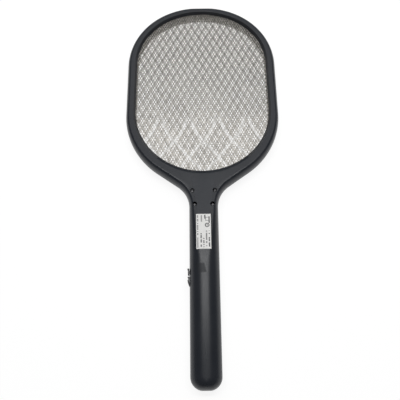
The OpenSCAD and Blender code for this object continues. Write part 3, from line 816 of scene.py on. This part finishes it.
dress(rear_shell, shell_look("rear_shell_plastic", (0.0175, 0.0205, 0.027), (0.0205, 0.0235, 0.03),
                             marks=True))
dress(front_shell, shell_look("front_shell_plastic", (0.0165, 0.019, 0.025), (0.019, 0.0215, 0.028)))
dress(rear_mesh, mesh_look("rear_mesh_metal", (0.56, 0.52, 0.457), (0.34, 0.315, 0.273), 45, 95, 0.42,
                           painted_light_marks=True))
# painted shade: the centre sheet darkens to near black towards the top, for the shade between the sheets
dress(centre_mesh, mesh_look("centre_mesh_metal", (0.62, 0.6, 0.57), (0.03, 0.03, 0.027), 70, 165, 0.5))
dress(front_mesh, mesh_look("front_mesh_metal", (0.6, 0.56, 0.49), (0.48, 0.447, 0.395), 50, 110, 0.42))
dress(screws, metal("blackened_screws", (0.03, 0.03, 0.032), (0.1, 0.1, 0.105), 0.32, 900))
dress(label, label_look())
control = moulded("control_plastic", (0.02, 0.021, 0.023), (0.028, 0.029, 0.032), 0.3, 0.15)
dress(slide_knob, control)
dress(push_button, control)

# the looks of the CAD's own pieces, by their material slots
plain_looks = {
    "spacer": lambda: moulded("spacer_plastic", (0.03, 0.03, 0.032), (0.04, 0.04, 0.043), 0.5),
    "clip": lambda: metal("clip_brass", (0.6, 0.42, 0.14), (0.8, 0.6, 0.25), 0.3),
    "lever": lambda: moulded("lever_nylon", (0.6, 0.58, 0.5), (0.7, 0.68, 0.6), 0.5),
    "plunger": lambda: moulded("plunger_nylon", (0.6, 0.6, 0.58), (0.7, 0.7, 0.68), 0.5),
    "switch_metal": lambda: metal("switch_tin", (0.5, 0.5, 0.52), (0.7, 0.7, 0.72), 0.35),
    "switch_case": lambda: moulded("switch_case_plastic", (0.03, 0.03, 0.033), (0.045, 0.045, 0.05), 0.45),
    "board": lambda: moulded("board_solder_mask", (0.02, 0.13, 0.04), (0.035, 0.2, 0.07), 0.3, 0.1),
    "board_screw": lambda: metal("board_screw_zinc", (0.45, 0.45, 0.45), (0.65, 0.65, 0.64), 0.35),
    "ferrite": lambda: moulded("core_ferrite", (0.045, 0.042, 0.04), (0.07, 0.065, 0.06), 0.6),
    "coil": lambda: metal("coil_copper", (0.5, 0.2, 0.07), (0.8, 0.4, 0.18), 0.4, 400, (1, 1, 12)),
    "film_capacitor": lambda: moulded("film_capacitor_dip", (0.4, 0.1, 0.03), (0.55, 0.16, 0.06), 0.3),
    "disc_capacitor": lambda: moulded("disc_capacitor_dip", (0.06, 0.22, 0.45), (0.1, 0.3, 0.58), 0.35),
    "diode": lambda: moulded("diode_body", (0.03, 0.03, 0.033), (0.05, 0.05, 0.055), 0.35),
    "resistor": lambda: moulded("resistor_lacquer", (0.5, 0.4, 0.22), (0.64, 0.53, 0.33), 0.4),
    "transistor": lambda: moulded("transistor_body", (0.025, 0.025, 0.028), (0.04, 0.04, 0.042), 0.45),
    "led": lambda: moulded("led_tint", (0.45, 0.03, 0.02), (0.6, 0.07, 0.05), 0.15, 0.05),
    "lens": lambda: moulded("lens_plastic", (0.62, 0.6, 0.56), (0.74, 0.72, 0.68), 0.25, 0.05),
    "cell": lambda: moulded("cell_wrap", (0.05, 0.17, 0.36), (0.08, 0.23, 0.45), 0.3, 0.1),
    "nickel": lambda: metal("tab_nickel", (0.55, 0.54, 0.5), (0.72, 0.71, 0.67), 0.3),
    "foam": lambda: moulded("pad_foam", (0.04, 0.04, 0.043), (0.08, 0.08, 0.085), 0.85, 0.8),
    "socket": lambda: metal("socket_steel", (0.5, 0.5, 0.52), (0.72, 0.72, 0.74), 0.28),
    "tongue": lambda: moulded("tongue_plastic", (0.02, 0.02, 0.022), (0.03, 0.03, 0.033), 0.4),
    "red_lead": lambda: moulded("red_insulation", (0.42, 0.02, 0.02), (0.55, 0.04, 0.035), 0.35),
    "black_lead": lambda: moulded("black_insulation", (0.02, 0.02, 0.02), (0.035, 0.035, 0.035), 0.35),
    "yellow_lead": lambda: moulded("yellow_insulation", (0.5, 0.38, 0.03), (0.65, 0.52, 0.08), 0.35),
    "white_lead": lambda: moulded("white_insulation", (0.6, 0.6, 0.58), (0.74, 0.74, 0.72), 0.35),
}
looks = {}
for part in frame["record"]["subparts"]:
    slot_name = part["material_slot"]
    if slot_name in plain_looks:
        if slot_name not in looks:
            looks[slot_name] = plain_looks[slot_name]()
        dress(nodes[part["node"]], looks[slot_name])

make_table()
make_light()
